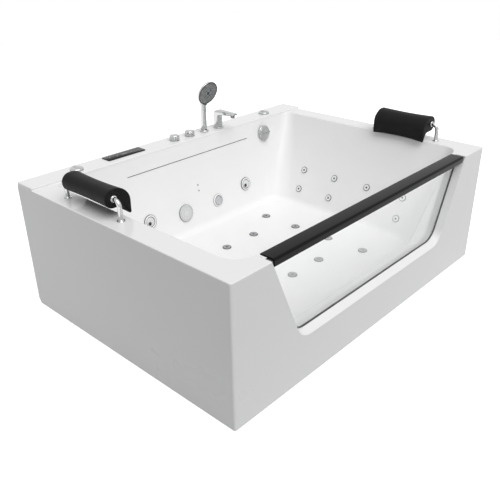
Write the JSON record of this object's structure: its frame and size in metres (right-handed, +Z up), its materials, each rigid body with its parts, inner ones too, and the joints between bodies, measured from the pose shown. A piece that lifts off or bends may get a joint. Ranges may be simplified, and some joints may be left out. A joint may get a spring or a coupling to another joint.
{
  "type": "jetted bathtub",
  "caption": "Rectangular jetted bathtub with a front window, tap deck, head pillows, hand shower, water and air jets, pump, blower and steel frame.",
  "frame": {"origin": "on the floor under the middle of the bath's footprint", "axes": "+X to the right along the window, +Y from the window to the tap deck, +Z up"},
  "size_m": [1.8, 1.3, 0.8896],
  "materials": {
    "acrylic": "glossy white sanitary acrylic",
    "panel": "satin to glossy pale grey-white panel",
    "board": "raw moisture-proof particle board",
    "glass": "clear toughened glass",
    "lens": "frosted clear lens",
    "seal": "black rubber profile",
    "rail": "black high-gloss lacquer",
    "frame_steel": "grey powder coat",
    "foot_steel": "zinc-plated threaded steel",
    "chrome": "polished chrome plate",
    "chrome_plastic": "chrome-plated plastic",
    "grey_plastic": "light grey moulded plastic",
    "jet_face": "grey nozzle rubber and plastic",
    "dark_plastic": "black moulded plastic",
    "keypad": "black film with pale symbols",
    "foam": "black integral-skin foam with a fine grain",
    "pvc": "white pipe plastic",
    "machine": "dark glass-filled plastic",
    "motor": "blue-grey enamel on a cast casing"
  },
  "bodies": {
    "tub": {"tub_shell": "acrylic", "base_board": "board", "front_panel": "panel", "left_end_panel": "panel", "right_end_panel": "panel", "window_glass": "glass", "window_seal": "seal", "rail_cap": "rail", "rail_beam": "frame_steel", "front_rail": "frame_steel", "back_rail": "frame_steel", "middle_cross_members": "frame_steel", "left_end_frame": "frame_steel", "right_end_frame": "frame_steel", "deck_rail": "frame_steel", "levelling_feet": "foot_steel", "equipment_shelf": "board", "control_panel": "keypad", "tap_valves": "chrome", "spout": "chrome", "spout_aerator": "jet_face", "shower_holder": "chrome", "air_valves": "chrome_plastic", "overflow_body": "pvc", "overflow_pipe": "pvc", "drain_body": "chrome", "drain_trap": "pvc", "suction_body": "pvc", "suction_grille": "grey_plastic", "light_housing": "grey_plastic", "light_lens": "lens", "large_jet_bodies": "grey_plastic", "left_back_jets": "jet_face", "right_back_jets": "jet_face", "floor_air_jets": "jet_face", "level_sensors": "dark_plastic", "left_pillow_bracket": "chrome", "right_pillow_bracket": "chrome", "pump_motor": "motor", "pump_wet_end": "machine", "blower": "machine", "control_box": "machine", "suction_pipe": "pvc", "pressure_pipe": "pvc", "air_pipes": "pvc", "left_jet_pipes": "pvc", "right_jet_pipes": "pvc"},
    "hot_knob": {"hot_knob": "chrome"},
    "cold_knob": {"cold_knob": "chrome"},
    "left_air_knob": {"left_air_knob": "chrome_plastic"},
    "right_air_knob": {"right_air_knob": "chrome_plastic"},
    "hand_shower": {"hand_shower": "chrome_plastic", "spray_face": "jet_face"},
    "spray_selector": {"spray_selector": "dark_plastic"},
    "overflow_knob": {"overflow_knob": "chrome_plastic"},
    "drain_plug": {"drain_plug": "chrome"},
    "left_jet_nozzle": {"left_jet_nozzle": "jet_face"},
    "right_jet_nozzle": {"right_jet_nozzle": "jet_face"},
    "left_pillow": {"left_pillow": "foam"},
    "right_pillow": {"right_pillow": "foam"}
  },
  "joints": [
    {"name": "hot_tap_turn", "type": "hinge", "parent": "tub", "child": "hot_knob", "pos_m": [-0.054, 0.58, 0.616], "axis": [0, 0, 1], "range_deg": [0, 90]},
    {"name": "cold_tap_turn", "type": "hinge", "parent": "tub", "child": "cold_knob", "pos_m": [0.0517, 0.58, 0.616], "axis": [0, 0, 1], "range_deg": [-90, 0]},
    {"name": "left_air_turn", "type": "hinge", "parent": "tub", "child": "left_air_knob", "pos_m": [-0.641, 0.58, 0.616], "axis": [0, 0, 1], "range_deg": [0, 90]},
    {"name": "right_air_turn", "type": "hinge", "parent": "tub", "child": "right_air_knob", "pos_m": [0.641, 0.58, 0.616], "axis": [0, 0, 1], "range_deg": [0, 90]},
    {"name": "hand_shower_lift", "type": "slide", "parent": "tub", "child": "hand_shower", "axis": [0, 0, 1], "range_m": [0, 0.25]},
    {"name": "spray_select", "type": "hinge", "parent": "hand_shower", "child": "spray_selector", "pos_m": [0.1574, 0.546, 0.83], "axis": [0, -0.9397, -0.342], "range_deg": [-30, 30]},
    {"name": "overflow_turn", "type": "hinge", "parent": "tub", "child": "overflow_knob", "pos_m": [0.555, 0.5127, 0.533], "axis": [0, -0.9781, 0.2079], "range_deg": [0, 90]},
    {"name": "plug_lift", "type": "slide", "parent": "tub", "child": "drain_plug", "axis": [0, 0, 1], "range_m": [0, 0.012]},
    {"name": "left_jet_turn", "type": "hinge", "parent": "tub", "child": "left_jet_nozzle", "pos_m": [-0.347, 0.46104, 0.29], "axis": [0, -0.9781, 0.2079], "continuous": true},
    {"name": "right_jet_turn", "type": "hinge", "parent": "tub", "child": "right_jet_nozzle", "pos_m": [0.347, 0.46104, 0.29], "axis": [0, -0.9781, 0.2079], "continuous": true},
    {"name": "left_pillow_tilt", "type": "hinge", "parent": "tub", "child": "left_pillow", "pos_m": [-0.837, 0.16814, 0.687], "axis": [0, -1, 0], "range_deg": [0, 40]},
    {"name": "right_pillow_tilt", "type": "hinge", "parent": "tub", "child": "right_pillow", "pos_m": [0.837, -0.24286, 0.687], "axis": [0, 1, 0], "range_deg": [0, 40]}
  ],
  "couplings": [
    {"joint": "plug_lift", "follows": "overflow_turn", "m_per_rad": 0.0076394}
  ]
}
